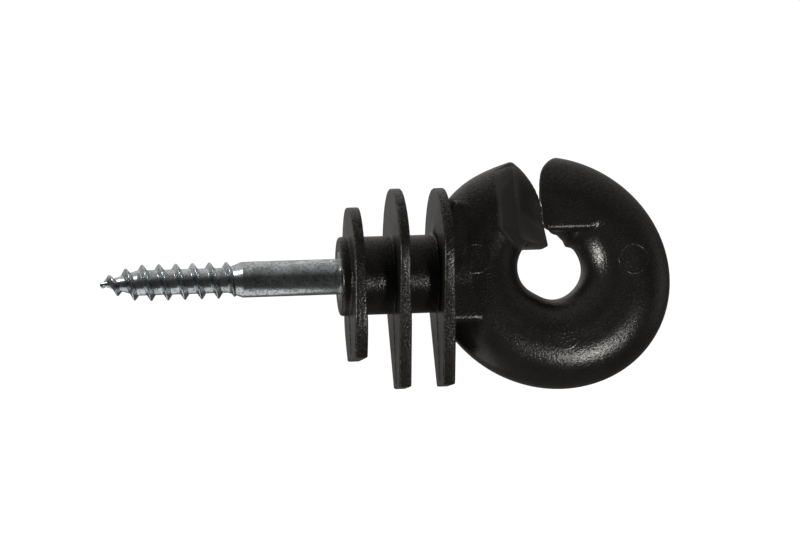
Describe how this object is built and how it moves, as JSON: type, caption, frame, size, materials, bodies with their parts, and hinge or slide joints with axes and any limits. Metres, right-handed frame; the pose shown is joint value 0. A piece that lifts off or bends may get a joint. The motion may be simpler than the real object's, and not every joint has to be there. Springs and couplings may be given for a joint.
{
  "type": "screw-in fence insulator",
  "caption": "Moulded ring insulator with a slit eye and flat-footed sheds on a steel wood screw, for holding an electric fence wire off a timber post.",
  "frame": {"origin": "centre of the bounding box; the screw's axis runs parallel to +X, 0.54 mm above it", "axes": "+X along the screw from its tip to the ring, +Y through the eye, +Z from the eye to the slit"},
  "size_m": [0.0966, 0.0272, 0.0392],
  "materials": {
    "black_plastic": "fine spark-eroded grain",
    "zinc_plated_steel": "bright zinc plating"
  },
  "bodies": {
    "root": {"insulator_body": "black_plastic", "screw": "zinc_plated_steel", "thrust_collar": "zinc_plated_steel"}
  },
  "joints": []
}
